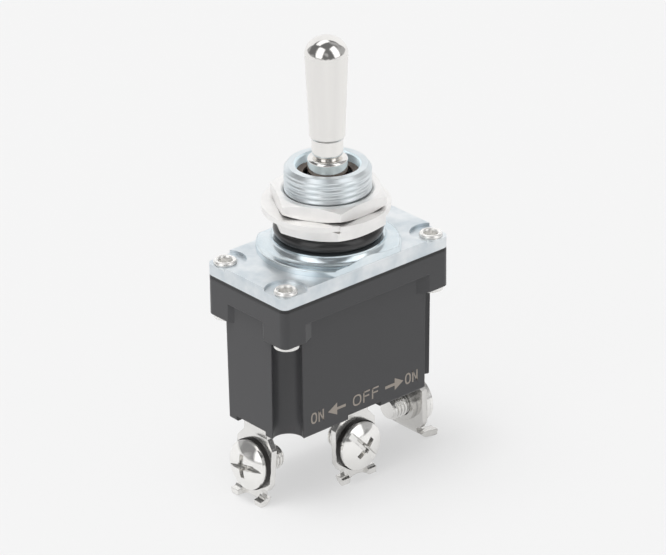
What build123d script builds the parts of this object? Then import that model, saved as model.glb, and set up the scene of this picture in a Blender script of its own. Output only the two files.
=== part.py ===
from build123d import *
import math
import os

# Sealed panel toggle switch, one pole, two throws with a centre off position.
# Millimetres. The origin is on the bushing axis, in the plane where the panel seats on the lower nut.
# +Z points along the bushing to the lever's tip, and the lever swings to +X and -X about the Y axis.

# Cover plate, gasket and case, all on one outline
plate_length = 29.7
plate_width = 15.95
plate_thickness = 2.1
plate_corner_radius = 1.0
gasket_thickness = 0.5
case_height = 20.3
case_floor = 3.4
case_end_recess = 0.5
case_side_recess = 0.83
case_band_height = 2.6
case_bottom_edge_radius = 0.35
case_draft = 0.3

# Corner ears of the case, which take the rivets
ear_height = 5.3
ear_length = 3.7
ear_width = 4.3
ear_slope_length = 1.7
ear_slope_width = 0.7

# Rivets, inset from the ends and sides of the cover plate
rivet_end_inset = 1.85
rivet_side_inset = 1.78
rivet_radius = 1.25
rivet_bore_radius = 0.95
rivet_bore_depth = 1.2
rivet_rim_radius = 1.62
rivet_rim_height = 0.52
rivet_head_radius = 1.75
rivet_head_height = 0.5
rivet_clearance = 0.05
pocket_radius = 2.9
pocket_depth = 0.45
flute_radius = 2.05

# Bushing: round flange cut flush with the plate's long sides, shoulder, thread
flange_rim_width = 1.0
flange_height = 0.9
flange_edge_radius = 0.2
shoulder_radius = 7.75
shoulder_height = 1.15
shoulder_flare = 1.1
thread_radius = 5.95
thread_engaged_radius = 5.7
thread_length = 10.2
thread_end_chamfer = 0.5
mouth_radius = 4.33
mouth_chamfer = 0.22
bushing_root_bore_radius = 5.55
bushing_bore_flare = 6.6
spigot_radius = 6.6
spigot_clearance = 0.05
thread_start_gap = 0.1

# Nuts, washer and sealing ring on the bushing
nut_across_flats = 14.2
nut_thickness = 2.0
nut_bore_radius = 5.75
nut_bore_chamfer = 0.6
nut_bore_chamfer_height = 0.3
nut_corner_chamfer = 0.45
upper_nut_turn = 1.0
lower_nut_turn = -1.5
washer_radius = 8.75
washer_bore_radius = 6.25
washer_thickness = 0.8
washer_notch_width = 1.1
washer_notch_depth = 0.35
washer_notch_angle = -122.7
washer_side_shift = 0.28
ring_outer_radius = 7.5
ring_inner_radius = 6.0
ring_height = 1.9

# Lever: handle, neck, boss for the pivot pin and the tube that holds the plunger
pivot_below_mouth = 2.8
lever_above_mouth = 18.2
lever_throw = 14.0
handle_top_radius = 2.92
handle_bottom_radius = 2.4
handle_length = 14.4
handle_dome_height = 2.2
handle_edge_radius = 0.3
neck_radius = 2.14
neck_root_radius = 1.7
neck_fillet = 0.35
boss_radius = 2.75
boss_edge_radius = 0.45
boss_above_pivot = 3.8
boss_below_pivot = 1.8
lever_tube_radius = 2.3
lever_tube_below_pivot = 14.0
plunger_bore_below_pivot = 2.1
pivot_pin_radius = 0.9
pivot_pin_half_length = 4.8
pin_press_clearance = 0.02
pin_slot_clearance = 0.05
pin_end_clearance = 0.1

# Seal in the bushing mouth, above the pivot pin
seal_above_pivot = 1.05
seal_height = 0.45
seal_groove_radius = 4.85
seal_bore_radius = 3.35
seal_fit = 0.03

# Plunger and its spring, inside the lever's tube
plunger_radius = 1.6
plunger_bore_clearance = 0.05
plunger_tip_radius = 1.2
plunger_guide_length = 4.0
spring_wire_radius = 0.2
spring_coil_radius = 1.2
spring_turns = 8

# Rocker, which tilts against the lever at this share of its angle
rocker_below_pivot = 22.0
rocker_share = 0.5
rocker_half_length = 9.2
rocker_width = 5.0
rocker_hub_half_length = 2.6
rocker_trough_height = 1.75
rocker_arm_height = 1.6
rocker_arm_thickness = 0.9
fulcrum_radius = 0.8
fulcrum_clearance = 0.05
fulcrum_web_width = 1.0
tip_clearance = 0.1

# Contacts: a moving pair under the rocker and a fixed pair on the end terminals
contact_radius = 1.2
contact_place = 7.8
moving_contact_height = 0.5
fixed_contact_height = 0.6
contact_edge_radius = 0.25
closed_contact_gap = 0.06

# Terminals: one bent strip each, leaning out a little below the case
strip_thickness = 0.9
end_strip_inset = 1.8
side_strip_inset = 3.4
strip_bend_radius = 1.1
strip_riser_half_width = 2.1
strip_slot_half_width = 2.4
strip_plate_half_width = 3.6
strip_waist_half_width = 2.2
strip_horn_half_width = 3.1
strip_toe_width = 1.4
strip_neck_length = 1.0
strip_shoulder_length = 1.4
strip_plate_end = 7.5
strip_corner_width = 0.6
strip_corner_end = 8.5
strip_horn_start = 9.5
strip_ground = 10.65
strip_foot_radius = 1.2
saddle_radius = 3.0
saddle_height = 0.6
strip_slot_clearance = 0.05
left_lean = 5.5
left_twist = 0.0
left_shift = 0.0
left_drop = 0.0
left_foot_reach = 0.95
left_foot_angle = 8.0
left_screw_turn = 8.0
right_lean = 1.0
right_twist = 0.0
right_shift = 1.15
right_drop = 0.4
right_foot_reach = 2.35
right_foot_angle = 10.0
right_screw_turn = 30.0
center_lean = 1.5
center_twist = 0.0
center_shift = 0.0
center_drop = 0.0
center_foot_reach = 0.6
center_foot_angle = 8.0
center_screw_turn = -49.0
terminal_notch_height = 0.8
terminal_notch_half_width = 3.0
end_wall_thickness = 4.45
side_wall_thickness = 1.55
cavity_end_half_width = 3.0
cavity_end_gap = 0.05
shelf_overhang = 2.7

# Binding screws and spring lock washers
screw_drop = 5.35
screw_radius = 1.75
screw_length = 5.0
screw_end_chamfer = 0.35
screw_head_radius = 3.5
screw_head_edge = 0.55
screw_head_height = 1.55
screw_slot_width = 0.9
screw_slot_depth = 0.85
cross_arm_length = 3.4
cross_arm_width = 0.8
cross_depth = 1.2
screw_hole_clearance = 0.05
collar_radius = 2.55
collar_height = 0.8
lock_washer_radius = 3.65
lock_washer_bore_radius = 1.9
lock_washer_thickness = 0.7
lock_washer_split = 0.35

# Levels, from the seat plane down to the feet and up to the lever's tip
lower_nut_bottom = -nut_thickness
shoulder_top = lower_nut_bottom - ring_height
flange_top = shoulder_top - shoulder_height
plate_top = flange_top - flange_height
plate_bottom = plate_top - plate_thickness
case_top = plate_bottom - gasket_thickness
case_bottom = case_top - case_height
ear_bottom = case_top - ear_height
cavity_floor = case_bottom + case_floor
upper_nut_bottom = washer_thickness
upper_nut_top = upper_nut_bottom + nut_thickness
mouth_top = shoulder_top + thread_length
pivot_height = mouth_top - pivot_below_mouth
lever_tip = mouth_top + lever_above_mouth
fulcrum_height = pivot_height - rocker_below_pivot
plunger_tip_height = fulcrum_height + rocker_trough_height + tip_clearance

# Plan sizes worked out from the driving dimensions
body_length = plate_length - 2 * case_end_recess
body_width = plate_width - 2 * case_side_recess
cavity_half_length = body_length / 2 - end_wall_thickness
cavity_half_width = body_width / 2 - side_wall_thickness
end_strip_place = plate_length / 2 - end_strip_inset
side_strip_place = plate_width / 2 - side_strip_inset
rivet_side = plate_length / 2 - rivet_end_inset
rivet_front = plate_width / 2 - rivet_side_inset
shoulder_foot_radius = shoulder_radius + shoulder_flare
flange_radius = shoulder_foot_radius + flange_rim_width
rocker_throw = lever_throw * rocker_share
fixed_contact_top = (
    fulcrum_height
    + (rocker_arm_height - moving_contact_height) * math.cos(math.radians(rocker_throw))
    - (contact_place + contact_radius - contact_edge_radius) * math.sin(math.radians(rocker_throw))
    - closed_contact_gap
)
contact_arm_top = fixed_contact_top - fixed_contact_height
neck_end = case_bottom - strip_neck_length
plate_start = strip_neck_length + strip_shoulder_length
toe_gap = 2 * (strip_horn_half_width - strip_toe_width)
strip_slot_width = strip_thickness + 2 * strip_slot_clearance
strip_slot_length = 2 * (strip_slot_half_width + strip_slot_clearance)

# The trough follows the path of the plunger's nose, seen from the rocker, out to both limits
nose_height = rocker_trough_height + tip_clearance + plunger_tip_radius
nose_reach = rocker_below_pivot - nose_height
nose_side = nose_reach * math.sin(math.radians(lever_throw))
nose_rise = rocker_below_pivot - nose_reach * math.cos(math.radians(lever_throw))
throw_sin = math.sin(math.radians(rocker_throw))
throw_cos = math.cos(math.radians(rocker_throw))
path_side = nose_side * throw_cos - nose_rise * throw_sin
path_rise = nose_side * throw_sin + nose_rise * throw_cos - nose_height
rocker_trough_radius = (path_side**2 + path_rise**2) / (2 * path_rise) + plunger_tip_radius + tip_clearance
shelf_top = fulcrum_height - fulcrum_radius - 0.3

os.makedirs("parts", exist_ok=True)


def write(piece, name):
    """Labels one finished piece and writes it under its node's name."""
    piece.label = name
    export_step(piece, f"parts/{name}.step")


# Case: a moulded box with a band, four corner ears, fluted corners and a stepped cavity
ear_start = plate_length / 2 - ear_length
ear_side = plate_width / 2 - ear_width
rivet_spots = [(x * rivet_side, y * rivet_front) for x in (-1, 1) for y in (-1, 1)]
with BuildPart() as case:
    with BuildSketch(Plane.XY.offset(case_top)):
        RectangleRounded(plate_length, plate_width, plate_corner_radius)
    extrude(amount=-case_band_height)
    with BuildSketch(Plane.XY.offset(case_top)):
        with BuildLine():
            Polyline(
                (plate_length / 2, ear_side),
                (plate_length / 2, plate_width / 2),
                (ear_start, plate_width / 2),
                (ear_start - ear_slope_length, body_width / 2),
                (ear_start - ear_slope_length, ear_side - ear_slope_width),
                (body_length / 2, ear_side - ear_slope_width),
                close=True,
            )
        make_face()
        mirror(about=Plane.XZ)
        mirror(about=Plane.YZ)
        RectangleRounded(plate_length, plate_width, plate_corner_radius, mode=Mode.INTERSECT)
    extrude(amount=-ear_height)
    with BuildSketch(Plane.XY.offset(case_top)):
        Rectangle(body_length, body_width)
    extrude(amount=-ear_height)
    with BuildSketch(Plane.XY.offset(ear_bottom)):
        Rectangle(body_length, body_width)
        with Locations(*rivet_spots):
            Circle(flute_radius, mode=Mode.SUBTRACT)
    extrude(amount=-(case_height - ear_height), taper=case_draft)
    fillet(case.faces().sort_by(Axis.Z)[0].edges(), case_bottom_edge_radius)
    with BuildSketch(Plane.XY.offset(case_top)):
        Rectangle(2 * cavity_half_length, 2 * cavity_half_width)
        Rectangle(2 * (end_strip_place + strip_thickness / 2 + cavity_end_gap), 2 * cavity_end_half_width)
    extrude(amount=-(case_height - case_floor), mode=Mode.SUBTRACT)
    with BuildSketch(Plane.XY.offset(case_top)):
        with Locations(*rivet_spots):
            Circle(rivet_radius + rivet_clearance)
    extrude(amount=-ear_height, mode=Mode.SUBTRACT)
    with BuildSketch(Plane.XY.offset(cavity_floor)):
        with GridLocations(2 * end_strip_place, 0, 2, 1):
            Rectangle(strip_slot_width, strip_slot_length)
        with Locations((0, -side_strip_place)):
            Rectangle(strip_slot_length, strip_slot_width)
    extrude(amount=-case_floor, mode=Mode.SUBTRACT)
    with BuildSketch(Plane.XY.offset(case_bottom)):
        with GridLocations(plate_length, 0, 2, 1):
            Rectangle(plate_length - 2 * end_strip_place, 2 * terminal_notch_half_width)
        with Locations((0, -plate_width / 2)):
            Rectangle(2 * terminal_notch_half_width, plate_width - 2 * side_strip_place)
    extrude(amount=terminal_notch_height, mode=Mode.SUBTRACT)
write(case.part, "case")

# Gasket between case and cover plate
with BuildPart() as case_gasket:
    with BuildSketch(Plane.XY.offset(case_top)):
        RectangleRounded(plate_length, plate_width, plate_corner_radius)
        Rectangle(2 * cavity_half_length, 2 * cavity_half_width, mode=Mode.SUBTRACT)
        with Locations(*rivet_spots):
            Circle(rivet_radius + rivet_clearance, mode=Mode.SUBTRACT)
    extrude(amount=gasket_thickness)
write(case_gasket.part, "case_gasket")

# Cover plate with a seat for the bushing and a sunk pocket at each rivet
with BuildPart() as cover_plate:
    with BuildSketch(Plane.XY.offset(plate_bottom)):
        RectangleRounded(plate_length, plate_width, plate_corner_radius)
        Circle(spigot_radius + spigot_clearance, mode=Mode.SUBTRACT)
        with Locations(*rivet_spots):
            Circle(rivet_radius + rivet_clearance, mode=Mode.SUBTRACT)
    extrude(amount=plate_thickness)
    with BuildSketch(Plane.XY.offset(plate_top)):
        with Locations(*rivet_spots):
            Circle(pocket_radius)
    extrude(amount=-pocket_depth, mode=Mode.SUBTRACT)
write(cover_plate.part, "cover_plate")

# Rivets: a closed head under each ear, a rolled rim in each pocket
rivet_names = ("rivet_left_front", "rivet_left_back", "rivet_right_front", "rivet_right_back")
pocket_floor = plate_top - pocket_depth
rim_top = pocket_floor + rivet_rim_height
for name, (middle, side) in zip(rivet_names, rivet_spots):
    section = Plane.XZ.offset(-side)
    with BuildPart() as rivet:
        with BuildSketch(section):
            with BuildLine():
                Polyline(
                    (middle, ear_bottom - rivet_head_height),
                    (middle + rivet_head_radius, ear_bottom - rivet_head_height),
                    (middle + rivet_head_radius, ear_bottom),
                    (middle + rivet_radius, ear_bottom),
                    (middle + rivet_radius, pocket_floor),
                    (middle + rivet_rim_radius, pocket_floor),
                )
                ThreePointArc(
                    (middle + rivet_rim_radius, pocket_floor),
                    (middle + rivet_rim_radius - 0.1, rim_top - 0.12),
                    (middle + (rivet_rim_radius + rivet_bore_radius) / 2, rim_top),
                )
                ThreePointArc(
                    (middle + (rivet_rim_radius + rivet_bore_radius) / 2, rim_top),
                    (middle + rivet_bore_radius + 0.08, rim_top - 0.12),
                    (middle + rivet_bore_radius, pocket_floor),
                )
                Polyline(
                    (middle + rivet_bore_radius, pocket_floor),
                    (middle + rivet_bore_radius, rim_top - rivet_bore_depth),
                    (middle, rim_top - rivet_bore_depth),
                    (middle, ear_bottom - rivet_head_height),
                )
            make_face()
        revolve(axis=Axis((middle, side, 0), (0, 0, 1)))
    write(rivet.part, name)

# Bushing: turned, with a flared bore, two slots for the pivot pin and a groove for the seal
flare_bottom = plate_bottom
flare_top = flare_bottom + bushing_bore_flare
with BuildPart() as bushing:
    with BuildSketch(Plane.XZ):
        with BuildLine():
            Polyline(
                (bushing_root_bore_radius, flare_bottom),
                (spigot_radius, flare_bottom),
                (spigot_radius, plate_top),
                (flange_radius, plate_top),
                (flange_radius, flange_top),
                (shoulder_foot_radius, flange_top),
            )
            ThreePointArc(
                (shoulder_foot_radius, flange_top),
                (shoulder_radius + 0.35, flange_top + 0.3),
                (shoulder_radius, shoulder_top - 0.25),
            )
            Polyline(
                (shoulder_radius, shoulder_top - 0.25),
                (shoulder_radius, shoulder_top),
                (thread_engaged_radius, shoulder_top),
                (thread_engaged_radius, upper_nut_top + thread_start_gap),
                (thread_radius, upper_nut_top + thread_start_gap),
                (thread_radius, mouth_top - thread_end_chamfer),
                (thread_radius - thread_end_chamfer, mouth_top),
                (mouth_radius + mouth_chamfer, mouth_top),
                (mouth_radius, mouth_top - mouth_chamfer),
                (mouth_radius, flare_top),
                (bushing_root_bore_radius, flare_bottom),
            )
        make_face()
    revolve(axis=Axis.Z)
    with BuildSketch(Plane.XY.offset(plate_top)):
        Rectangle(2 * flange_radius, plate_width)
    extrude(amount=mouth_top - plate_bottom, both=True, mode=Mode.INTERSECT)
    with BuildSketch(Plane.XZ):
        slot_radius = pivot_pin_radius + pin_slot_clearance
        with Locations((0, pivot_height)):
            Circle(slot_radius)
        with Locations((0, (pivot_height + flare_bottom) / 2)):
            Rectangle(2 * slot_radius, pivot_height - flare_bottom)
    extrude(amount=pivot_pin_half_length + pin_end_clearance, both=True, mode=Mode.SUBTRACT)
    with BuildSketch(Plane.XY.offset(pivot_height + seal_above_pivot)):
        Circle(seal_groove_radius)
    extrude(amount=seal_height, mode=Mode.SUBTRACT)
    circles = bushing.edges().filter_by(GeomType.CIRCLE)
    rim = circles.filter_by(lambda edge: abs(edge.radius - flange_radius) < 1e-3)
    fillet(rim.filter_by_position(Axis.Z, flange_top - 0.01, flange_top + 0.01), flange_edge_radius)
write(bushing.part, "bushing")

# Seal in the mouth's groove, around the lever's boss
with BuildPart() as lever_seal:
    with BuildSketch(Plane.XY.offset(pivot_height + seal_above_pivot)):
        Circle(seal_groove_radius - seal_fit)
        Circle(seal_bore_radius, mode=Mode.SUBTRACT)
    extrude(amount=seal_height)
write(lever_seal.part, "lever_seal")


# Nuts: two alike, with chamfered corners and bores
def make_nut(bottom, turn):
    """A thin hexagon nut with its lower face at one height, turned by an angle in degrees."""
    corner_radius = nut_across_flats / 2 / math.cos(math.pi / 6)
    with BuildPart() as nut:
        with BuildSketch(Plane.XY.offset(bottom)):
            RegularPolygon(corner_radius, 6, rotation=turn)
        extrude(amount=nut_thickness)
        with BuildSketch(Plane.XZ):
            with BuildLine():
                Polyline(
                    (nut_bore_radius, bottom + nut_bore_chamfer_height),
                    (nut_bore_radius + nut_bore_chamfer, bottom),
                    (nut_across_flats / 2, bottom),
                    (corner_radius, bottom + nut_corner_chamfer),
                    (corner_radius, bottom + nut_thickness - nut_corner_chamfer),
                    (nut_across_flats / 2, bottom + nut_thickness),
                    (nut_bore_radius + nut_bore_chamfer, bottom + nut_thickness),
                    (nut_bore_radius, bottom + nut_thickness - nut_bore_chamfer_height),
                    close=True,
                )
            make_face()
        revolve(axis=Axis.Z, mode=Mode.INTERSECT)
    return nut.part


write(make_nut(lower_nut_bottom, lower_nut_turn), "lower_nut")
write(make_nut(upper_nut_bottom, upper_nut_turn), "upper_nut")

# Panel washer, resting a little off centre between the nuts
with BuildPart() as panel_washer:
    with BuildSketch():
        shift = (-washer_side_shift * math.cos(math.pi / 4), washer_side_shift * math.sin(math.pi / 4))
        with Locations(shift):
            Circle(washer_radius)
            Circle(washer_bore_radius, mode=Mode.SUBTRACT)
            with PolarLocations(washer_radius, 1, washer_notch_angle):
                Rectangle(2 * washer_notch_depth, washer_notch_width, mode=Mode.SUBTRACT)
    extrude(amount=washer_thickness)
write(panel_washer.part, "panel_washer")

# Sealing ring between the shoulder and the lower nut
with BuildPart() as o_ring:
    with BuildSketch(Plane.XZ):
        with BuildLine():
            Polyline(
                (ring_outer_radius - ring_height / 2, shoulder_top),
                (ring_inner_radius, shoulder_top),
                (ring_inner_radius, lower_nut_bottom),
                (ring_outer_radius - ring_height / 2, lower_nut_bottom),
            )
            ThreePointArc(
                (ring_outer_radius - ring_height / 2, lower_nut_bottom),
                (ring_outer_radius, (shoulder_top + lower_nut_bottom) / 2),
                (ring_outer_radius - ring_height / 2, shoulder_top),
            )
        make_face()
    revolve(axis=Axis.Z)
write(o_ring.part, "o_ring")

# Lever: one turned piece, cross-drilled for the pivot pin and bored for the plunger
handle_bottom = lever_tip - handle_length
dome_foot = lever_tip - handle_dome_height
boss_top = pivot_height + boss_above_pivot
boss_bottom = pivot_height - boss_below_pivot
tube_end = pivot_height - lever_tube_below_pivot
bore_top = pivot_height - plunger_bore_below_pivot
diagonal = math.sqrt(0.5)
with BuildPart() as lever:
    with BuildSketch(Plane.XZ):
        with BuildLine():
            ThreePointArc(
                (0, lever_tip),
                (handle_top_radius * diagonal, dome_foot + handle_dome_height * diagonal),
                (handle_top_radius, dome_foot),
            )
            Polyline(
                (handle_top_radius, dome_foot),
                (handle_bottom_radius, handle_bottom + handle_edge_radius),
                (handle_bottom_radius - handle_edge_radius / 2, handle_bottom),
                (neck_radius, handle_bottom),
                (neck_radius, boss_top + 2 * neck_fillet),
            )
            TangentArc(
                (neck_radius, boss_top + 2 * neck_fillet),
                (neck_root_radius, boss_top + neck_fillet / 2),
                tangent=(0, -1),
            )
            Polyline(
                (neck_root_radius, boss_top + neck_fillet / 2),
                (neck_root_radius, boss_top),
                (boss_radius - boss_edge_radius, boss_top),
            )
            TangentArc(
                (boss_radius - boss_edge_radius, boss_top),
                (boss_radius, boss_top - boss_edge_radius),
                tangent=(1, 0),
            )
            Polyline(
                (boss_radius, boss_top - boss_edge_radius),
                (boss_radius, boss_bottom),
                (lever_tube_radius, boss_bottom - (boss_radius - lever_tube_radius)),
                (lever_tube_radius, tube_end),
                (0, tube_end),
                (0, lever_tip),
            )
        make_face()
    revolve(axis=Axis.Z)
    with BuildSketch(Plane.XY.offset(tube_end)):
        Circle(plunger_radius + plunger_bore_clearance)
    extrude(amount=bore_top - tube_end, mode=Mode.SUBTRACT)
    with BuildSketch(Plane.XZ):
        with Locations((0, pivot_height)):
            Circle(pivot_pin_radius + pin_press_clearance)
    extrude(amount=boss_radius, both=True, mode=Mode.SUBTRACT)
write(lever.part, "lever")

# Pivot pin, pressed through the boss, with its ends in the bushing's slots
with BuildPart() as pivot_pin:
    with BuildSketch(Plane.XZ):
        with Locations((0, pivot_height)):
            Circle(pivot_pin_radius)
    extrude(amount=pivot_pin_half_length, both=True)
    chamfer(pivot_pin.edges().filter_by(GeomType.CIRCLE), 0.15)
write(pivot_pin.part, "pivot_pin")

# Plunger: a round-nosed rod in the lever's tube
plunger_top = tube_end + plunger_guide_length
with BuildPart() as plunger:
    with BuildSketch(Plane.XZ):
        with BuildLine():
            Polyline(
                (0, plunger_top),
                (plunger_radius, plunger_top),
                (plunger_radius, plunger_tip_height + 2 * plunger_tip_radius),
                (plunger_tip_radius, plunger_tip_height + plunger_tip_radius),
            )
            ThreePointArc(
                (plunger_tip_radius, plunger_tip_height + plunger_tip_radius),
                (
                    plunger_tip_radius * math.sin(math.pi / 4),
                    plunger_tip_height + plunger_tip_radius * (1 - math.cos(math.pi / 4)),
                ),
                (0, plunger_tip_height),
            )
            Line((0, plunger_tip_height), (0, plunger_top))
        make_face()
    revolve(axis=Axis.Z)
write(plunger.part, "plunger")

# Spring between the bore's end and the plunger
spring_start = plunger_top + spring_wire_radius
spring_length = bore_top - plunger_top - 2 * spring_wire_radius
with BuildPart() as plunger_spring:
    with BuildLine() as coil:
        Helix(
            pitch=spring_length / spring_turns,
            height=spring_length,
            radius=spring_coil_radius,
            center=(0, 0, spring_start),
        )
    with BuildSketch(Plane(origin=coil.line @ 0, z_dir=coil.line % 0)):
        Circle(spring_wire_radius)
    sweep()
write(plunger_spring.part, "plunger_spring")

# Rocker: a stamped saddle on the fulcrum, with a trough for the plunger's nose
arm_bottom = fulcrum_height + rocker_arm_height
arm_top = arm_bottom + rocker_arm_thickness
trough_bottom = fulcrum_height + rocker_trough_height
with BuildPart() as rocker:
    with BuildSketch(Plane.XZ):
        with BuildLine():
            Polyline(
                (-rocker_half_length, arm_bottom),
                (-rocker_hub_half_length - rocker_arm_height, arm_bottom),
                (-rocker_hub_half_length, fulcrum_height),
                (rocker_hub_half_length, fulcrum_height),
                (rocker_hub_half_length + rocker_arm_height, arm_bottom),
                (rocker_half_length, arm_bottom),
                (rocker_half_length, arm_top),
                (-rocker_half_length, arm_top),
                close=True,
            )
        make_face()
        with Locations((0, trough_bottom + rocker_trough_radius)):
            Circle(rocker_trough_radius, mode=Mode.SUBTRACT)
        with Locations((0, fulcrum_height)):
            Circle(fulcrum_radius + fulcrum_clearance, mode=Mode.SUBTRACT)
    extrude(amount=rocker_width / 2, both=True)
write(rocker.part, "rocker")

# Moving contacts, riveted under the rocker's arms
for name, side in (("moving_contact_left", -1), ("moving_contact_right", 1)):
    with BuildPart() as moving_contact:
        with BuildSketch(Plane.XY.offset(arm_bottom)):
            with Locations((side * contact_place, 0)):
                Circle(contact_radius)
        extrude(amount=-moving_contact_height)
        fillet(moving_contact.edges().sort_by(Axis.Z)[0], contact_edge_radius)
    write(moving_contact.part, name)


# Terminals: each one strip, straight down to its neck, then a plate that may lean, shift and twist
def plate_frame(out, place, lean, twist, shift, drop):
    """The plane of a strip's middle at the top of its plate: x across the strip, y up it, z outwards."""
    up = Vector(0, 0, 1)
    turned = out.rotate(Axis.Z, twist)
    lean_angle = math.radians(lean)
    normal = turned * math.cos(lean_angle) + up * math.sin(lean_angle)
    level = case_bottom - plate_start - drop
    middle = out * (place + shift + plate_start * math.tan(lean_angle)) + up * level
    return Plane(origin=middle, x_dir=up.cross(turned), z_dir=normal)


def make_arm(out, place, inner_end, inner_level):
    """The straight part of a strip: its inner arm and its riser, down to the neck."""
    up = Vector(0, 0, 1)
    side_view = Plane(origin=(0, 0, 0), x_dir=out, z_dir=out.cross(up))
    front_view = Plane(origin=(0, 0, 0), x_dir=up.cross(out), z_dir=out)
    arm_middle = inner_level - strip_thickness / 2
    corner = (place, arm_middle)
    with BuildPart() as arm:
        with BuildSketch(side_view):
            with BuildLine() as route:
                FilletPolyline((inner_end, arm_middle), corner, (place, neck_end), radius=strip_bend_radius)
            trace(route.line, line_width=strip_thickness)
        extrude(amount=strip_slot_half_width, both=True)
        with BuildSketch(front_view):
            with Locations((0, cavity_floor)):
                Rectangle(2 * strip_riser_half_width, 2 * (inner_level - cavity_floor))
            with Locations((0, (cavity_floor + neck_end) / 2)):
                Rectangle(2 * strip_slot_half_width, cavity_floor - neck_end)
        extrude(amount=2 * plate_length, both=True, mode=Mode.INTERSECT)
    return arm.part


def make_plate(frame, lean, foot_reach, foot_angle):
    """The plate of a strip, waisted below the screw, with two toes bent outwards to the ground."""
    edge_view = Plane(origin=frame.origin, x_dir=frame.z_dir, z_dir=-frame.x_dir)
    plate_lean = math.radians(lean)
    foot_turn = math.radians(foot_angle)
    drop = strip_ground - plate_start
    foot_run = (foot_reach + strip_thickness / 2) / math.cos(foot_turn)
    foot_rise = strip_thickness / 2 * math.cos(foot_turn) + foot_run * math.sin(foot_turn)
    heel_level = -(drop - foot_rise) / math.cos(plate_lean)
    toe_out = foot_run * math.cos(plate_lean + foot_turn)
    toe_level = heel_level - foot_run * math.sin(plate_lean + foot_turn)
    ground = -drop / math.cos(plate_lean)
    with BuildPart() as plate:
        with BuildSketch(edge_view):
            with BuildLine() as route:
                FilletPolyline((0, 0), (0, heel_level), (toe_out, toe_level), radius=strip_foot_radius)
            trace(route.line, line_width=strip_thickness)
        extrude(amount=strip_plate_half_width, both=True)
        with BuildSketch(frame):
            with BuildLine():
                Polyline(
                    (0, 0),
                    (strip_plate_half_width, 0),
                    (strip_plate_half_width, plate_start - strip_plate_end),
                    (strip_plate_half_width - strip_corner_width, plate_start - strip_corner_end),
                    (strip_waist_half_width, plate_start - strip_corner_end),
                    (strip_waist_half_width, plate_start - strip_horn_start),
                    (strip_horn_half_width, plate_start - strip_horn_start),
                    (strip_horn_half_width, ground - strip_thickness),
                    (0, ground - strip_thickness),
                    close=True,
                )
            make_face()
            mirror(about=Plane.YZ)
            with Locations((0, ground + saddle_height - saddle_radius)):
                Circle(saddle_radius, mode=Mode.SUBTRACT)
        extrude(amount=2 * plate_length, both=True, mode=Mode.INTERSECT)
        with BuildSketch(frame.offset(strip_thickness / 2)):
            with Locations((0, ground)):
                Rectangle(toe_gap, 2 * (strip_ground - strip_corner_end))
        extrude(amount=plate_length, mode=Mode.SUBTRACT)
    return plate.part


def make_terminal(out, place, arm, plate, frame, seat):
    """A whole strip: its arm and plate joined by a neck, with a collar and a hole for the screw."""
    up = Vector(0, 0, 1)
    with BuildPart() as strip:
        with BuildSketch(Plane(origin=out * place + up * neck_end, x_dir=up.cross(out), z_dir=-up)):
            Rectangle(2 * strip_slot_half_width, strip_thickness)
        with BuildSketch(Plane(origin=frame.origin, x_dir=frame.x_dir, z_dir=-frame.y_dir)):
            Rectangle(2 * strip_plate_half_width, strip_thickness)
        loft(ruled=True)
        add(arm)
        add(plate)
        with BuildSketch(seat.offset(-strip_thickness)):
            Circle(collar_radius)
        extrude(amount=-collar_height)
        with BuildSketch(seat):
            Circle(screw_radius + screw_hole_clearance)
        extrude(amount=-strip_thickness - collar_height, mode=Mode.SUBTRACT)
    return strip.part


def screw_seat(frame, turn):
    """The plane of a strip's outer face, centred on its screw hole and turned to the screw's slot."""
    middle = frame.origin - frame.y_dir * (screw_drop - plate_start)
    across = frame.x_dir.rotate(Axis(middle, frame.z_dir), turn)
    return Plane(origin=middle + frame.z_dir * (strip_thickness / 2), x_dir=across, z_dir=frame.z_dir)


def make_screw(seat):
    """A binding head screw with a slot and a cross, its head resting on the lock washer."""
    base = lock_washer_thickness
    section = Plane(origin=seat.origin, x_dir=seat.x_dir, z_dir=-seat.y_dir)
    dome_height = screw_head_height - screw_head_edge
    dome_radius = (screw_head_radius**2 + dome_height**2) / (2 * dome_height)
    dome_drop = dome_radius - math.sqrt(dome_radius**2 - (screw_head_radius / 2) ** 2)
    with BuildPart() as screw:
        with BuildSketch(section):
            with BuildLine():
                Polyline(
                    (0, base - screw_length),
                    (screw_radius - screw_end_chamfer, base - screw_length),
                    (screw_radius, base - screw_length + screw_end_chamfer),
                    (screw_radius, base),
                    (screw_head_radius, base),
                    (screw_head_radius, base + screw_head_edge),
                )
                ThreePointArc(
                    (screw_head_radius, base + screw_head_edge),
                    (screw_head_radius / 2, base + screw_head_height - dome_drop),
                    (0, base + screw_head_height),
                )
                Line((0, base + screw_head_height), (0, base - screw_length))
            make_face()
        revolve(axis=Axis(seat.origin, seat.z_dir))
        with BuildSketch(seat.offset(base + screw_head_height)):
            Rectangle(2 * screw_head_radius, screw_slot_width)
        extrude(amount=-screw_slot_depth, mode=Mode.SUBTRACT)
        with BuildSketch(seat.offset(base + screw_head_height)):
            Rectangle(cross_arm_width, cross_arm_length)
            Rectangle(cross_arm_length, cross_arm_width)
        extrude(amount=-cross_depth, taper=8, mode=Mode.SUBTRACT)
    return screw.part


def make_lock_washer(seat):
    """A split spring washer on the terminal's face."""
    split_reach = 2 * lock_washer_radius - lock_washer_bore_radius
    with BuildPart() as lock_washer:
        with BuildSketch(seat):
            Circle(lock_washer_radius)
            Circle(lock_washer_bore_radius, mode=Mode.SUBTRACT)
            with Locations((0, -lock_washer_radius)):
                Rectangle(lock_washer_split, split_reach, mode=Mode.SUBTRACT)
        extrude(amount=lock_washer_thickness)
    return lock_washer.part


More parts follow.
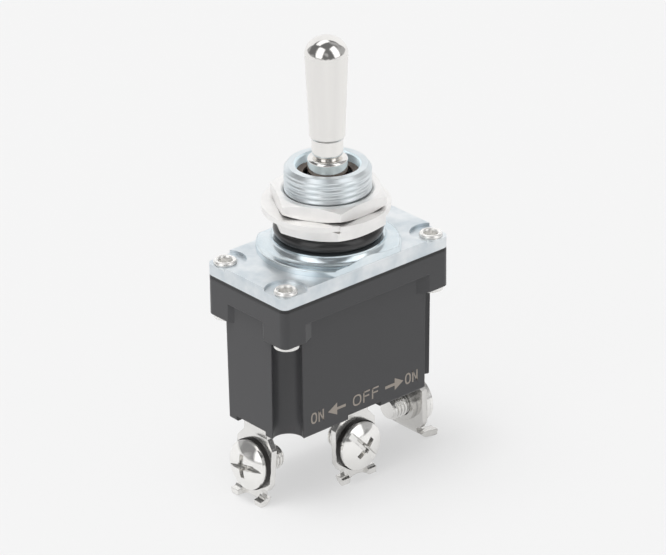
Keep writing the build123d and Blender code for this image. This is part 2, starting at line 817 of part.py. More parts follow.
contact_arm_end = contact_place - contact_radius - 0.3
left_plate = (
    left_lean, left_twist, left_shift, left_drop, left_foot_reach, left_foot_angle, left_screw_turn
)
right_plate = (
    right_lean, right_twist, right_shift, right_drop, right_foot_reach, right_foot_angle, right_screw_turn
)
center_plate = (
    center_lean, center_twist, center_shift, center_drop, center_foot_reach, center_foot_angle,
    center_screw_turn
)
terminals = (
    ("left", Vector(-1, 0, 0), end_strip_place, contact_arm_end, contact_arm_top, left_plate),
    ("right", Vector(1, 0, 0), end_strip_place, contact_arm_end, contact_arm_top, right_plate),
    ("center", Vector(0, -1, 0), side_strip_place, -shelf_overhang, shelf_top, center_plate),
)
for name, out, place, inner_end, inner_level, bends in terminals:
    lean, twist, shift, drop, foot_reach, foot_angle, turn = bends
    frame = plate_frame(out, place, lean, twist, shift, drop)
    seat = screw_seat(frame, turn)
    arm = make_arm(out, place, inner_end, inner_level)
    plate = make_plate(frame, lean, foot_reach, foot_angle)
    strip = make_terminal(out, place, arm, plate, frame, seat)
    if name == "center":
        with BuildPart() as fulcrum:
            with BuildSketch(Plane.XZ):
                with Locations((0, fulcrum_height)):
                    Circle(fulcrum_radius)
                with Locations((0, (fulcrum_height + shelf_top) / 2)):
                    Rectangle(fulcrum_web_width, fulcrum_height - shelf_top)
            extrude(amount=rocker_width / 2, both=True)
            add(strip)
        strip = fulcrum.part
    write(strip, f"terminal_{name}")
    write(make_screw(seat), f"terminal_screw_{name}")
    write(make_lock_washer(seat), f"lock_washer_{name}")

# Fixed contacts, on the end terminals' arms
for name, side in (("fixed_contact_left", -1), ("fixed_contact_right", 1)):
    with BuildPart() as fixed_contact:
        with BuildSketch(Plane.XY.offset(contact_arm_top)):
            with Locations((side * contact_place, 0)):
                Circle(contact_radius)
        extrude(amount=fixed_contact_height)
        fillet(fixed_contact.edges().sort_by(Axis.Z)[-1], contact_edge_radius)
    write(fixed_contact.part, name)
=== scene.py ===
import math

import bmesh
import bpy
import numpy as np
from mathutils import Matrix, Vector


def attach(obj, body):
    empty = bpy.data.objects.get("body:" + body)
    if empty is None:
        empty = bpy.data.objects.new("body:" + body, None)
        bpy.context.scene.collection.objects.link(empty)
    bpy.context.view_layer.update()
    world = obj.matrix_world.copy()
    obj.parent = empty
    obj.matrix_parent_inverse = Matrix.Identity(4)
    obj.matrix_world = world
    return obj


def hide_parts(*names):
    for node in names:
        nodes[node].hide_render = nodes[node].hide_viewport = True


# Looks for the sealed panel toggle switch: finishes, real threads, the printed legend, stage and camera.
# Metres, in the part's own frame: the origin is in the panel's seat, +Z points to the lever's tip.
# The named sizes below are in millimetres, and MM turns them into metres.

MM = 0.001

# The bushing's thread and the tube that carries it: radii, and levels above the panel's seat
BUSHING = {
    "crest": 5.93,
    "root": 5.80,
    "pitch": 0.794,
    "core": 5.7,
    "foot": -3.9,
    "low": 2.2,
    "high": 6.3,
    "run_out": 5.72,
    "run_out_level": 2.4,
    "end_chamfer": 0.55,
    "end_slope": 0.9,
    "first_step": 0.02,
    "step": 0.045,
    "around": 128,
}
# The plain cylinders of the CAD bushing that the thread takes the place of
BUSHING_SKIN = {"inner": 5.40, "outer": 5.99, "low": -3.95}
# The wall of its mouth: nearer the axis than this radius, and above this level
MOUTH = {"radius": 4.6, "low": 3.0}
# The places of the mouth's and the thread's finishes among its materials
MOUTH_SLOT, THREAD_SLOT = 1, 2

# A binding screw's thread: radii, and levels along the screw, outwards from its seat
SCREW = {
    "crest": 1.74,
    "root": 1.42,
    "pitch": 0.6,
    "top": 0.7,
    "plain": -0.6,
    "end": -4.3,
    "end_radius": 1.4,
    "end_slope": 0.8,
    "first_step": 0.02,
    "step": 0.04,
    "around": 64,
}
# The plain cylinder of a CAD screw that the thread takes the place of
SHANK = {"inner": 1.35, "outer": 1.78, "low": -4.35, "high": 0.75}
# Each screw's seat and the way that its head faces
SCREWS = {
    "left": ((-14.0118, 0, -34.1433), (-0.995396, 0, 0.095846)),
    "right": ((14.7433, 0, -34.5917), (0.999848, 0, 0.017452)),
    "center": ((0, -5.1649, -34.1867), (0, -0.999657, 0.026177)),
}
# Parts of half a pitch that a thread's flat root and its flank take up; the flat crest takes the rest
THREAD_FLAT = 0.08
THREAD_FLANK = 0.80
# How far a face's normal may lean along the axis and still belong to a cylinder round it
ALONG_AXIS = 0.95
# The angle in degrees under which two faces of a thread are shaded as one
THREAD_SMOOTH = 40.0

# Where the lever's satin taper starts and ends: each from the polished level to the satin one
SATIN_LOW = (9.9, 10.0)
SATIN_HIGH = (22.3, 22.2)
POLISHED_ROUGH = 0.11
SATIN_ROUGH = 0.34
SATIN_GRAIN = 0.3
# Factors on X, Y and Z that draw the lever's streaks and grain out along it
STREAK_STRETCH = (1, 1, 0.03)
GRAIN_STRETCH = (1, 1, 0.5)

# Depth of a surface's grain; strength and pitch of the lines on turned metal, and the radius of its edges
GRAIN_DEPTH = 0.02
TURNED_STRENGTH = 0.06
TURNED_PITCH = 0.35
TURNED_EDGE = 0.1
# Parts of a noise's range over which a colour or a roughness changes
TONE_SPREAD = (0.35, 0.65)
GRAIN_SPREAD = (0.3, 0.7)
STREAK_SPREAD = (0.3, 0.65)
# Painted shade in narrow gaps: how open a gap is where the painted shade is darkest and from where it is
# clear, and its darkest tone
CREVICE_SHADE_SPREAD = (0.2, 0.75)
CREVICE_SHADE_DARKEST = 0.2
# The colour sockets of a mix node
MIX_FIRST, MIX_SECOND, MIX_RESULT = 6, 7, 2

# The case's front face: distance from the middle, level where it starts to lean in, lean in degrees
FACE = 7.145
FACE_LEVEL = -13.85
FACE_DRAFT = 0.3
# The legend: height over the face, its letters' lower and upper level and stroke, the arrows' level and head
PRINT_HEIGHT = 0.012
LETTER_LOW = -27.1
LETTER_HIGH = -25.42
STROKE = 0.235
ARROW_LEVEL = -26.26
ARROW_HALF_HEAD = 0.92

# The floor under the three feet: level below the origin, slopes along X and Y, half its side in metres
GROUND = {"level": -39.7, "x": -0.0131, "y": -0.0328}
FLOOR_HALF_SIDE = 4.0
# How much light it scatters, and how much it gives off
FLOOR_TONE = 0.26
FLOOR_GLOW = 0.556
# The background's brightness, and the heights between which the mirrored studio fades into it
BACKDROP = 0.905
HORIZON = (0.10, -0.02)
# The light on matt surfaces: all round, and overhead within a cone about one direction
FILL = 0.3
FILL_TOP = 4.5
FILL_WAY = (-0.18, 0.06, 0.98)
FILL_CONE = (0.83, 0.985)
# The studio that the metal mirrors: its dark and grey parts, and the noise values that they blend between
STUDIO_DARK = 0.17
STUDIO_GREY = 0.42
STUDIO_SPREAD = (0.40, 0.62)
# A direction's share towards a soft box: the one where the box is fully in, and the least divisor
AHEAD_FADE = 0.1
AHEAD_LEAST = 0.001
# The soft boxes: direction, half width and half height as tangents, softness of the edge, brightness
PATCHES = [
    ((0.62, 0.72, 0.30), 1.3, 0.75, 0.12, 0.97),
    ((-0.82, -0.12, 0.56), 0.34, 0.58, 0.12, 1.45),
    ((0.28, -0.80, 0.56), 0.32, 0.58, 0.12, 1.45),
    ((0.06, 0.42, 0.90), 0.42, 0.22, 0.05, 1.25),
]

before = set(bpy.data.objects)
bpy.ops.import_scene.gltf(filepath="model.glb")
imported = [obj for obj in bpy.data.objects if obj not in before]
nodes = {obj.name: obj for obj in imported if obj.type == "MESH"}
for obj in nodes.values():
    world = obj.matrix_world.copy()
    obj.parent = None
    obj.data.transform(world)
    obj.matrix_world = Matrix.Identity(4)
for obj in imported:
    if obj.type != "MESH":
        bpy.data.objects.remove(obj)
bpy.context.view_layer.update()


# Shader nodes
def set_values(node, values):
    """Sets a node's inputs from name=value pairs; names starting with p_ are properties."""
    for key, value in values.items():
        if key.startswith("p_"):
            setattr(node, key[2:], value)
        else:
            node.inputs[key.replace("_", " ")].default_value = value


def add(tree, kind, **values):
    node = tree.nodes.new(kind)
    set_values(node, values)
    return node


def feed(tree, value, socket):
    """Gives a socket a number or another node's output."""
    if isinstance(value, (int, float)):
        socket.default_value = value
    else:
        tree.links.new(value, socket)


def math_node(tree, operation, *values):
    node = add(tree, "ShaderNodeMath", p_operation=operation)
    for value, socket in zip(values, node.inputs):
        feed(tree, value, socket)
    return node.outputs[0]


def remap(tree, source, start=0.0, end=1.0, low=0.0, high=1.0, kind="LINEAR"):
    """From low where source is start to high where it is end."""
    node = add(
        tree,
        "ShaderNodeMapRange",
        p_interpolation_type=kind,
        From_Min=start,
        From_Max=end,
        To_Min=low,
        To_Max=high,
    )
    tree.links.new(source, node.inputs["Value"])
    return node.outputs[0]


def noise(tree, place, scale, detail, roughness):
    node = add(tree, "ShaderNodeTexNoise", Scale=scale, Detail=detail, Roughness=roughness)
    tree.links.new(place, node.inputs["Vector"])
    return node.outputs["Fac"]


def blend(tree, source, spread, low, high):
    """A colour that goes from low to high while source rises from the spread's start to its end."""
    node = add(tree, "ShaderNodeValToRGB")
    tree.links.new(source, node.inputs["Fac"])
    for element, position, colour in zip(node.color_ramp.elements, spread, (low, high)):
        element.position = position
        element.color = (*colour, 1)
    return node.outputs["Color"]


def grey(value):
    return (value, value, value)


def coords(tree, scale=(1, 1, 1)):
    source = add(tree, "ShaderNodeTexCoord")
    mapping = add(tree, "ShaderNodeMapping", Scale=scale)
    tree.links.new(source.outputs["Object"], mapping.inputs["Vector"])
    return mapping.outputs["Vector"]


def own_place(tree):
    """A point's place in the part's own frame, whole and split into X, Y and Z."""
    whole = add(tree, "ShaderNodeTexCoord").outputs["Object"]
    split = add(tree, "ShaderNodeSeparateXYZ")
    tree.links.new(whole, split.inputs[0])
    return whole, split.outputs


# Materials
def new_material(name, **values):
    """A material, its node tree and its shader, whose inputs are set from name=value pairs."""
    mat = bpy.data.materials.new(name)
    mat.use_nodes = True
    shader = mat.node_tree.nodes["Principled BSDF"]
    set_values(shader, values)
    return mat, mat.node_tree, shader


def set_surface(tree, shader, height, strength, edge):
    """Grain from a noise, over edges that the light sees rounded by a radius; 0 leaves them sharp."""
    bump = add(tree, "ShaderNodeBump", Distance=GRAIN_DEPTH * MM)
    tree.links.new(height, bump.inputs["Height"])
    feed(tree, strength, bump.inputs["Strength"])
    if edge:
        bevel = add(tree, "ShaderNodeBevel", p_samples=4, Radius=edge * MM)
        tree.links.new(bevel.outputs["Normal"], bump.inputs["Normal"])
    tree.links.new(bump.outputs["Normal"], shader.inputs["Normal"])


def set_rough(tree, shader, source, rough):
    """A roughness that follows a noise from the first value of rough to the second."""
    tone = blend(tree, source, GRAIN_SPREAD, grey(rough[0]), grey(rough[1]))
    tree.links.new(tone, shader.inputs["Roughness"])


def make_metal(name, tones, rough, grain_scale, grain, metallic, edge=0.12, crevice_shade=0.0):
    """Plated metal: a faint change of colour, a fine grain in the roughness and in the surface.

    With a gap distance over 0, painted shade darkens the colour in narrow gaps within that many millimetres
    of another surface."""
    mat, tree, shader = new_material(name, Metallic=metallic)
    place = coords(tree)
    broad = noise(tree, place, scale=260.0, detail=3.0, roughness=0.55)
    tone = blend(tree, broad, TONE_SPREAD, *tones)
    # Painted shade: ambient occlusion darkens the base colour in narrow gaps
    if crevice_shade:
        gap = add(tree, "ShaderNodeAmbientOcclusion", p_samples=8, Distance=crevice_shade * MM)
        dark = add(tree, "ShaderNodeMix", p_data_type="RGBA", p_blend_type="MULTIPLY", Factor=1.0)
        shade = blend(tree, gap.outputs["AO"], CREVICE_SHADE_SPREAD, grey(CREVICE_SHADE_DARKEST), grey(1.0))
        tree.links.new(tone, dark.inputs[MIX_FIRST])
        tree.links.new(shade, dark.inputs[MIX_SECOND])
        tone = dark.outputs[MIX_RESULT]
    tree.links.new(tone, shader.inputs["Base Color"])
    fine = noise(tree, place, grain_scale, detail=4.0, roughness=0.6)
    set_rough(tree, shader, fine, rough)
    set_surface(tree, shader, fine, grain, edge)
    return mat


def make_turned(name, tones, rough, metallic):
    """Turned metal: fine rings about the part's own Z axis."""
    mat, tree, shader = new_material(name, Metallic=metallic)
    whole, split = own_place(tree)
    flat = add(tree, "ShaderNodeCombineXYZ")
    tree.links.new(split["X"], flat.inputs["X"])
    tree.links.new(split["Y"], flat.inputs["Y"])
    radius = add(tree, "ShaderNodeVectorMath", p_operation="LENGTH")
    tree.links.new(flat.outputs[0], radius.inputs[0])
    rings = add(tree, "ShaderNodeCombineXYZ")
    tree.links.new(radius.outputs["Value"], rings.inputs["X"])
    tree.links.new(split["Z"], rings.inputs["Y"])
    lines = noise(tree, rings.outputs[0], scale=1 / (TURNED_PITCH * MM), detail=3.0, roughness=0.6)
    broad = noise(tree, whole, scale=220.0, detail=3.0, roughness=0.55)
    tree.links.new(blend(tree, broad, TONE_SPREAD, *tones), shader.inputs["Base Color"])
    set_rough(tree, shader, lines, rough)
    set_surface(tree, shader, lines, TURNED_STRENGTH, TURNED_EDGE)
    return mat


def new_plain(name, colour, rough, metallic):
    return new_material(
        name, Specular_IOR_Level=0.42, Base_Color=(*colour, 1), Metallic=metallic, Roughness=rough
    )


def make_plain(name, colour, rough, grain, grain_scale=3000.0, edge=0.15, metallic=0.0):
    """A surface of one colour with a fine texture, moulded, painted or metallic."""
    mat, tree, shader = new_plain(name, colour, rough, metallic)
    fine = noise(tree, coords(tree), grain_scale, detail=3.0, roughness=0.6)
    set_surface(tree, shader, fine, grain, edge)
    return mat


def make_lifted(name, colour, rough, metallic, lift):
    """A turned wall whose fine lines throw the light upwards: its normal is raised by lift along Z."""
    mat, tree, shader = new_plain(name, colour, rough, metallic)
    face = add(tree, "ShaderNodeNewGeometry")
    raised = add(tree, "ShaderNodeVectorMath", p_operation="ADD")
    raised.inputs[1].default_value = (0, 0, lift)
    tree.links.new(face.outputs["Normal"], raised.inputs[0])
    unit = add(tree, "ShaderNodeVectorMath", p_operation="NORMALIZE")
    tree.links.new(raised.outputs[0], unit.inputs[0])
    tree.links.new(unit.outputs[0], shader.inputs["Normal"])
    return mat


def make_lever_finish():
    """Satin plating on the handle's taper, polished plating on its dome, neck and boss."""
    mat, tree, shader = new_material("lever_plating", Metallic=1.0)
    level = own_place(tree)[1]["Z"]
    above, below = (remap(tree, level, start * MM, end * MM) for start, end in (SATIN_LOW, SATIN_HIGH))
    satin = math_node(tree, "MULTIPLY", above, below)
    tree.links.new(remap(tree, satin, low=POLISHED_ROUGH, high=SATIN_ROUGH), shader.inputs["Roughness"])
    streak = noise(tree, coords(tree, STREAK_STRETCH), scale=420.0, detail=2.0, roughness=0.5)
    tone = blend(tree, streak, STREAK_SPREAD, (0.83, 0.815, 0.795), (0.90, 0.885, 0.86))
    tree.links.new(tone, shader.inputs["Base Color"])
    fine = noise(tree, coords(tree, GRAIN_STRETCH), scale=2200.0, detail=3.0, roughness=0.6)
    set_surface(tree, shader, fine, strength=remap(tree, satin, high=SATIN_GRAIN), edge=0.06)
    return mat


nickel_tones = ((0.85, 0.842, 0.83), (0.93, 0.918, 0.905))
nickel_rough = (0.30, 0.345)
zinc = make_metal(
    "zinc_plate",
    tones=((0.60, 0.66, 0.70), (0.80, 0.83, 0.85)),
    rough=(0.29, 0.37),
    grain_scale=900.0,
    grain=0.0,
    metallic=0.8,
    edge=0,
)
zinc_turned = make_turned(
    "zinc_turned", tones=((0.68, 0.77, 0.82), (0.82, 0.88, 0.91)), rough=(0.14, 0.25), metallic=0.95
)
zinc_thread = make_turned(
    "zinc_thread", tones=((0.70, 0.76, 0.79), (0.82, 0.86, 0.88)), rough=(0.29, 0.38), metallic=0.85
)
zinc_bore = make_lifted("zinc_bore", (0.80, 0.92, 0.97), rough=0.30, metallic=0.8, lift=0.75)
nickel = make_metal(
    "nickel_satin", nickel_tones, nickel_rough, grain_scale=700.0, grain=0.0, metallic=0.9, edge=0
)
# Painted shade: the upper nut's nickel, its colour darkened in the narrow gaps at the bushing and at the
# washer under it
nickel_nut_shaded = make_metal(
    "nickel_nut_shaded",
    nickel_tones,
    nickel_rough,
    grain_scale=700.0,
    grain=0.0,
    metallic=0.85,
    edge=0,
    crevice_shade=0.35,
)
rivet_metal = make_metal(
    "rivet_nickel",
    tones=((0.84, 0.83, 0.81), (0.90, 0.89, 0.87)),
    rough=(0.2, 0.26),
    grain_scale=900.0,
    grain=0.0,
    metallic=0.7,
)
# Polished nickel of the terminal screws, with painted shade darkening its colour in narrow gaps near other
# surfaces
nickel_bright = make_metal(
    "nickel_bright",
    tones=((0.88, 0.87, 0.85), (0.94, 0.93, 0.91)),
    rough=(0.06, 0.12),
    grain_scale=620.0,
    grain=0.9,
    metallic=0.9,
    edge=0.1,
    crevice_shade=0.4,
)
terminal_finish = make_metal(
    "terminal_plating",
    tones=((0.82, 0.81, 0.79), (0.88, 0.87, 0.85)),
    rough=(0.12, 0.20),
    grain_scale=1800.0,
    grain=0.06,
    metallic=0.85,
)
# Painted shade: a darker copy of the terminal plating for the right terminal, its colour also darkened in
# narrow gaps
terminal_painted_shade = make_metal(
    "terminal_painted_shade",
    tones=((0.66, 0.65, 0.63), (0.76, 0.75, 0.73)),
    rough=(0.12, 0.20),
    grain_scale=1800.0,
    grain=0.06,
    metallic=0.85,
    crevice_shade=0.4,
)
lever_finish = make_lever_finish()
spring_dark = make_plain(
    "spring_steel", (0.035, 0.033, 0.032), rough=0.35, grain=0.1, metallic=0.7, edge=0.08
)
case_plastic = make_plain(
    "case_plastic", (0.057, 0.057, 0.060), rough=0.3, grain=0.08, grain_scale=2600.0, edge=0.22
)
rubber = make_plain("black_rubber", (0.02, 0.02, 0.021), rough=0.38, grain=0.1)
ring_rubber = make_plain("ring_rubber", (0.04, 0.04, 0.041), rough=0.12, grain=0.0, edge=0)
seal_rubber = make_plain("seal_rubber", (0.13, 0.10, 0.082), rough=0.16, grain=0.0, metallic=0.3)
bronze = make_plain("bronze", (0.62, 0.40, 0.2), rough=0.3, grain=0.1, metallic=1.0)
silver = make_plain("silver", (0.85, 0.85, 0.83), rough=0.25, grain=0.1, metallic=1.0)
legend_paint = make_plain("legend_paint", (0.39, 0.345, 0.30), rough=0.55, grain=0.05, edge=0.01)

FINISH = {
    "case": case_plastic,
    "case_gasket": rubber,
    "cover_plate": zinc,
    "rivet": rivet_metal,
    "bushing": zinc_turned,
    "lever_seal": seal_rubber,
    "o_ring": ring_rubber,
    "lower_nut": nickel,
    "upper_nut": nickel_nut_shaded,
    "panel_washer": nickel,
    "lever": lever_finish,
    "pivot_pin": spring_dark,
    "plunger": bronze,
    "plunger_spring": spring_dark,
    "rocker": bronze,
    "moving_contact": silver,
    "fixed_contact": silver,
    "terminal": terminal_finish,
    # The right terminal takes the darker copy of the plating as painted shade
    "terminal_right": terminal_painted_shade,
    "terminal_screw": nickel_bright,
    # Painted shade: the left and centre lock washers take the dark steel for the shadowed gaps under the
    # screw heads; the right one is plated
    "lock_washer": spring_dark,
    "lock_washer_right": terminal_finish,
}


def finish_of(name):
    """The finish of the longest key that a node's name starts with."""
    return FINISH[max((key for key in FINISH if name.startswith(key)), key=len)]


def smooth_by_angle(obj, degrees=30.0):
    """Smooth shading with sharp edges kept, from the angle between faces."""
    mesh = obj.data
    work = bmesh.new()
    work.from_mesh(mesh)
    for face in work.faces:
        face.smooth = True
    limit = math.radians(degrees)
    for edge in work.edges:
        edge.smooth = len(edge.link_faces) == 2 and edge.calc_face_angle(0.0) < limit
    work.to_mesh(mesh)
    work.free()


def show(name, mesh, material):
    """Puts a mesh into the scene as one object."""
    mesh.materials.append(material)
    obj = bpy.data.objects.new(name, mesh)
    bpy.context.scene.collection.objects.link(obj)
    return obj


def mesh_object(name, vertices, faces, material):
    mesh = bpy.data.meshes.new(name)
    mesh.from_pydata(vertices, [], faces)
    mesh.validate()
    return show(name, mesh, material)


for name, obj in nodes.items():
    obj.data.materials.clear()
    obj.data.materials.append(finish_of(name))
    smooth_by_angle(obj)


# Real threads in place of the plain cylinders
def thread_radius(thread, turn, level):
    """A thread's radius at a turn from 0 to 1 and a level."""
    rise = abs(2.0 * ((level / thread["pitch"] - turn) % 1.0) - 1.0)
    rise = min(1.0, max(0.0, (rise - THREAD_FLAT) / THREAD_FLANK))
    return thread["root"] + (thread["crest"] - thread["root"]) * (0.5 - 0.5 * math.cos(math.pi * rise))


def threaded_tube(levels, around, radius_at, place):
    """Vertices and faces of a tube, shaped by radius_at(turn, level) and place(x, y, level).

    A turn goes from 0 to 1 once round the axis."""
    vertices = []
    for level in levels:
        for j in range(around):
            turn = j / around
            r = radius_at(turn, level)
            angle = 2 * math.pi * turn
            vertices.append(place(r * math.cos(angle), r * math.sin(angle), level))
    faces = []
    for i in range(len(levels) - 1):
        for j in range(around):
            k = (j + 1) % around
            faces.append((i * around + j, i * around + k, (i + 1) * around + k, (i + 1) * around + j))
    return vertices, faces


def with_thread(node, axis, drop, tube):
    """A copy of a CAD node with a threaded tube for its faces round axis whose corners drop picks."""
    work = bmesh.new()
    work.from_mesh(nodes[node].data)
    gone = [
        face
        for face in work.faces
        if abs(face.normal.dot(axis)) < ALONG_AXIS and all(drop(v.co) for v in face.verts)
    ]
    bmesh.ops.delete(work, geom=gone, context="FACES")
    vertices, faces = tube
    made = [work.verts.new(v) for v in vertices]
    for face in faces:
        work.faces.new([made[k] for k in face])
    bmesh.ops.recalc_face_normals(work, faces=work.faces)
    mesh = bpy.data.meshes.new(node + "_threaded")
    work.to_mesh(mesh)
    work.free()
    obj = show(node + "_threaded", mesh, finish_of(node))
    smooth_by_angle(obj, THREAD_SMOOTH)
    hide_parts(node)
    return obj


def bushing_levels():
    """The plain tube's foot, then the thread's steps from its low end to its high end."""
    low, high = BUSHING["low"], BUSHING["high"]
    return [BUSHING["foot"], low, *np.arange(low + BUSHING["first_step"], high, BUSHING["step"]), high]


def bushing_radius(turn, level):
    """The plain tube up to the thread, its run-out, the thread and the chamfer at its end."""
    if level <= BUSHING["low"]:
        return BUSHING["core"] * MM
    run_out = BUSHING["run_out"] + max(0.0, level - BUSHING["run_out_level"])
    chamfer = BUSHING["crest"] - BUSHING["end_chamfer"] + (BUSHING["high"] - level) * BUSHING["end_slope"]
    return min(thread_radius(BUSHING, turn, level), run_out, chamfer) * MM


def in_bushing_skin(v):
    inner, outer, low = (BUSHING_SKIN[key] * MM for key in ("inner", "outer", "low"))
    return inner < math.hypot(v.x, v.y) < outer and v.z > low


bushing = with_thread(
    "bushing",
    Vector((0, 0, 1)),
    in_bushing_skin,
    threaded_tube(
        bushing_levels(), BUSHING["around"], bushing_radius, lambda x, y, level: (x, y, level * MM)
    ),
)
bushing.data.materials.append(zinc_bore)
bushing.data.materials.append(zinc_thread)
for face in bushing.data.polygons:
    radius, level = math.hypot(face.center.x, face.center.y), face.center.z
    if radius < MOUTH["radius"] * MM and level > MOUTH["low"] * MM:
        face.material_index = MOUTH_SLOT
    elif level > BUSHING["low"] * MM:
        face.material_index = THREAD_SLOT
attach(bushing, "base")


def screw_levels():
    """The plain neck from within the head, then the thread's steps down to the screw's end."""
    plain, end = SCREW["plain"], SCREW["end"]
    return [SCREW["top"], plain, *np.arange(plain - SCREW["first_step"], end, -SCREW["step"]), end]


def screw_radius(turn, level):
    """The plain neck, the thread and the taper of its end."""
    if level > SCREW["plain"]:
        return SCREW["crest"] * MM
    taper = SCREW["end_radius"] + (level - SCREW["end"]) * SCREW["end_slope"]
    return min(thread_radius(SCREW, turn, level), taper) * MM


def threaded_screw(side, seat, normal):
    """A binding screw with its thread, round the normal through its seat."""
    across = Vector((0, 0, 1)).cross(normal).normalized()
    other = normal.cross(across)

    def in_shank(v):
        away = v - seat
        s = away.dot(normal) / MM
        r = (away - normal * away.dot(normal)).length / MM
        return SHANK["inner"] < r < SHANK["outer"] and SHANK["low"] < s < SHANK["high"]

    def place(x, y, level):
        return seat + across * x + other * y + normal * level * MM

    tube = threaded_tube(screw_levels(), SCREW["around"], screw_radius, place)
    return with_thread("terminal_screw_" + side, normal, in_shank, tube)


for side, (seat, normal) in SCREWS.items():
    screw = threaded_screw(side, Vector(seat) * MM, Vector(normal))
    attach(screw, "base")


# Printed legend on the case's front face
legend_vertices = []
legend_faces = []


def face_place(x, z):
    """A point just off the case's front face, which leans in with the mould's draft."""
    y = FACE - max(0.0, FACE_LEVEL - z) * math.tan(math.radians(FACE_DRAFT))
    return (x * MM, -(y + PRINT_HEIGHT) * MM, z * MM)


def outline(points):
    """One flat shape from its corner points."""
    start = len(legend_vertices)
    legend_vertices.extend(face_place(x, z) for x, z in points)
    legend_faces.append(tuple(range(start, start + len(points))))


def bar(x0, z0, x1, z1, width=STROKE):
    """One straight stroke."""
    length = math.hypot(x1 - x0, z1 - z0)
    nx, nz = -(z1 - z0) / length * width / 2, (x1 - x0) / length * width / 2
    outline([(x0 + nx, z0 + nz), (x0 - nx, z0 - nz), (x1 - nx, z1 - nz), (x1 + nx, z1 + nz)])


def letter_o(left, right, steps=40, squareness=0.8):
    """A narrow O, its corners rounded like a stadium's."""
    cx, cz = (left + right) / 2, (LETTER_LOW + LETTER_HIGH) / 2
    a, b = (right - left) / 2, (LETTER_HIGH - LETTER_LOW) / 2
    start = len(legend_vertices)
    for k in range(steps):
        t = 2 * math.pi * k / steps
        c, s = (math.copysign(abs(value) ** squareness, value) for value in (math.cos(t), math.sin(t)))
        legend_vertices.append(face_place(cx + a * c, cz + b * s))
        legend_vertices.append(face_place(cx + (a - STROKE) * c, cz + (b - STROKE) * s))
    for k in range(steps):
        n = (k + 1) % steps
        legend_faces.append((start + 2 * k, start + 2 * k + 1, start + 2 * n + 1, start + 2 * n))


def letter_n(left, right, slant=STROKE * 0.85):
    """Two posts and a slanting stroke, slant wide along the line."""
    h = STROKE / 2
    bar(left + h, LETTER_LOW, left + h, LETTER_HIGH)
    bar(right - h, LETTER_LOW, right - h, LETTER_HIGH)
    upper = [(left, LETTER_HIGH), (left + slant, LETTER_HIGH)]
    lower = [(right, LETTER_LOW), (right - slant, LETTER_LOW)]
    outline(upper + lower)


def letter_f(left, right, middle=0.54, shorter=0.12):
    """A post, a top arm, and a shorter arm at the part middle of the height."""
    h = STROKE / 2
    bar(left + h, LETTER_LOW, left + h, LETTER_HIGH)
    bar(left, LETTER_HIGH - h, right, LETTER_HIGH - h)
    level = LETTER_LOW + (LETTER_HIGH - LETTER_LOW) * middle
    bar(left, level, right - shorter, level)


def arrow(tail, neck, tip, thickness):
    bar(tail, ARROW_LEVEL, neck, ARROW_LEVEL, thickness)
    upper, lower = ARROW_LEVEL + ARROW_HALF_HEAD, ARROW_LEVEL - ARROW_HALF_HEAD
    outline([(neck, upper), (tip, ARROW_LEVEL), (neck, lower)])


# ON, OFF and ON with an arrow to each side: the left and right of every letter along X
letter_o(-9.68, -8.6)
letter_n(-8.36, -7.38)
arrow(tail=-3.45, neck=-5.0, tip=-6.65, thickness=0.4)
letter_o(-2.15, -0.6)
letter_f(-0.28, 0.95)
letter_f(1.32, 2.55)
arrow(tail=3.75, neck=5.5, tip=7.1, thickness=0.44)
letter_o(7.42, 8.5)
letter_n(8.74, 9.74)
legend = mesh_object("legend", legend_vertices, legend_faces, legend_paint)
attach(legend, "base")


# Stage: a white floor that is one tone with the background, and the studio that the metal mirrors
def make_floor():
    mat, tree, shader = new_material("floor")
    tree.nodes.remove(shader)
    output = tree.nodes["Material Output"]
    lit = add(tree, "ShaderNodeBsdfDiffuse", Color=(*grey(FLOOR_TONE), 1))
    glow = add(tree, "ShaderNodeEmission", Color=(1, 1, 1, 1), Strength=FLOOR_GLOW)
    total = add(tree, "ShaderNodeAddShader")
    tree.links.new(lit.outputs[0], total.inputs[0])
    tree.links.new(glow.outputs[0], total.inputs[1])
    tree.links.new(total.outputs[0], output.inputs["Surface"])
    level = GROUND["level"] * MM
    far = FLOOR_HALF_SIDE
    corners = [(-far, -far), (far, -far), (far, far), (-far, far)]
    vertices = [(x, y, level + GROUND["x"] * x + GROUND["y"] * y) for x, y in corners]
    floor = mesh_object("floor", vertices, [(0, 1, 2, 3)], mat)


def dot(tree, direction, way):
    node = add(tree, "ShaderNodeVectorMath", p_operation="DOT_PRODUCT")
    tree.links.new(direction, node.inputs[0])
    node.inputs[1].default_value = way
    return node.outputs["Value"]


def fade(tree, source, start, end, value=1.0):
    """From 0 where source is start to value where it is end, with soft ends."""
    return remap(tree, source, start, end, high=value, kind="SMOOTHSTEP")


def patch(tree, direction, way, wide, high, soft, value):
    """A soft box of light in the studio: half its width and height as tangents about one direction."""
    way = Vector(way).normalized()
    side = Vector((0, 0, 1)).cross(way).normalized()
    top = way.cross(side)
    ahead = dot(tree, direction, way)
    near = math_node(tree, "MAXIMUM", ahead, AHEAD_LEAST)
    across = math_node(tree, "ABSOLUTE", math_node(tree, "DIVIDE", dot(tree, direction, side), near))
    along = math_node(tree, "ABSOLUTE", math_node(tree, "DIVIDE", dot(tree, direction, top), near))
    inside = math_node(
        tree,
        "MULTIPLY",
        fade(tree, across, wide + soft, wide - soft),
        fade(tree, along, high + soft, high - soft),
    )
    shown = math_node(tree, "MULTIPLY", inside, fade(tree, ahead, 0.0, AHEAD_FADE))
    return math_node(tree, "MULTIPLY", shown, value)


def brighter(tree, first, second):
    return math_node(tree, "MAXIMUM", first, second)


def mix_shaders(tree, share, first, second):
    """The first shader, or the second by its share."""
    node = add(tree, "ShaderNodeMixShader")
    for source, socket in zip((share, first.outputs[0], second.outputs[0]), node.inputs):
        tree.links.new(source, socket)
    return node


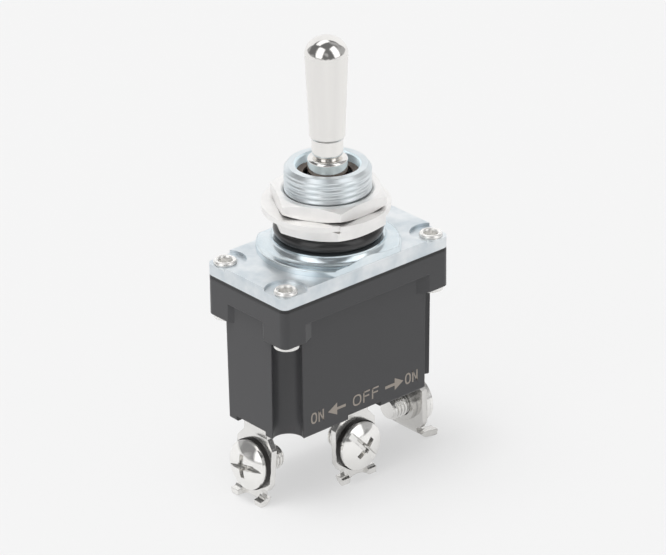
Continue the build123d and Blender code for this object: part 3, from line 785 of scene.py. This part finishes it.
def make_world():
    """One tone behind the part, a soft light on matt surfaces, and a studio in the mirroring ones."""
    world = bpy.data.worlds.new("studio")
    bpy.context.scene.world = world
    world.use_nodes = True
    tree = world.node_tree
    tree.nodes.clear()
    output = add(tree, "ShaderNodeOutputWorld")
    direction = add(tree, "ShaderNodeTexCoord").outputs["Generated"]
    height = dot(tree, direction, (0, 0, 1))
    cloud = noise(tree, direction, scale=1.4, detail=1.0, roughness=0.5)
    seen = brighter(tree, fade(tree, cloud, *STUDIO_SPREAD, STUDIO_GREY), STUDIO_DARK)
    for each in PATCHES:
        seen = brighter(tree, seen, patch(tree, direction, *each))
    seen = brighter(tree, seen, fade(tree, height, *HORIZON, BACKDROP))
    mirrored = add(tree, "ShaderNodeBackground")
    tree.links.new(seen, mirrored.inputs["Color"])
    fill = add(tree, "ShaderNodeBackground")
    overhead = dot(tree, direction, Vector(FILL_WAY).normalized())
    tree.links.new(brighter(tree, fade(tree, overhead, *FILL_CONE, FILL_TOP), FILL), fill.inputs["Color"])
    plain = add(tree, "ShaderNodeBackground", Color=(1, 1, 1, 1), Strength=BACKDROP)
    path = add(tree, "ShaderNodeLightPath")
    soft = mix_shaders(tree, path.outputs["Is Diffuse Ray"], mirrored, fill)
    mix = mix_shaders(tree, path.outputs["Is Camera Ray"], soft, plain)
    tree.links.new(mix.outputs[0], output.inputs["Surface"])


def sun(name, towards, spread, power):
    """A soft sun in the direction towards, as wide as spread in degrees, that the metal doesn't mirror."""
    data = bpy.data.lights.new(name, "SUN")
    data.energy = power
    data.angle = math.radians(spread)
    light = bpy.data.objects.new(name, data)
    bpy.context.scene.collection.objects.link(light)
    light.rotation_euler = Vector(towards).to_track_quat("Z", "Y").to_euler()
    light.visible_glossy = False


def make_camera():
    """The camera, fitted to the photo."""
    data = bpy.data.cameras.new("camera")
    data.sensor_width = 36.0
    data.lens = 216.444
    data.dof.use_dof = False
    data.clip_start = 0.01
    data.clip_end = 50.0
    cam = bpy.data.objects.new("camera", data)
    bpy.context.scene.collection.objects.link(cam)
    cam.location = (-0.3201448, -0.3667323, 0.2276014)
    cam.rotation_euler = (1.1154318, 0.0102201, -0.7238010)
    bpy.context.scene.camera = cam


make_floor()
make_world()
sun("key", towards=(-0.2, 0.06, 1.0), spread=18, power=1.0)
sun("left", towards=(-1.0, -0.35, 0.6), spread=50, power=0.45)
make_camera()
bpy.context.scene.view_settings.view_transform = "Standard"
